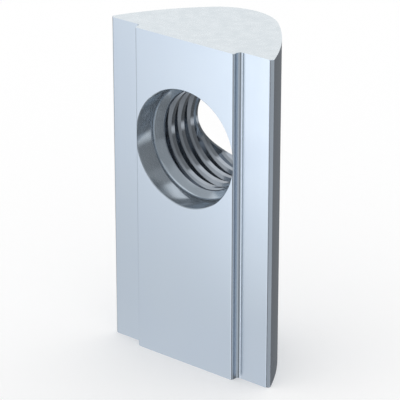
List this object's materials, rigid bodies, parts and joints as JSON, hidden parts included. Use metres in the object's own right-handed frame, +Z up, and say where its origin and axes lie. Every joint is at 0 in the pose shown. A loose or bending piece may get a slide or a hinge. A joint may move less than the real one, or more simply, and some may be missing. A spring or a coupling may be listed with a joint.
{
  "type": "threaded slot nut",
  "caption": "Half-round slot nut: a short zinc-plated steel bar with a stepped flat front, a rounded back and a threaded through hole nearer its top end.",
  "frame": {"origin": "middle of the floor of the bounding box, on the cut end that the bar stands on", "axes": "+Z up along the bar, +X across its width, -Y out of the stepped front face and out of the mouth of the threaded hole"},
  "size_m": [0.0134, 0.0074, 0.023],
  "materials": {
    "zinc_plated_steel": "bright bluish zinc plating, satin"
  },
  "bodies": {
    "root": {"nut_body": "zinc_plated_steel"}
  },
  "joints": []
}
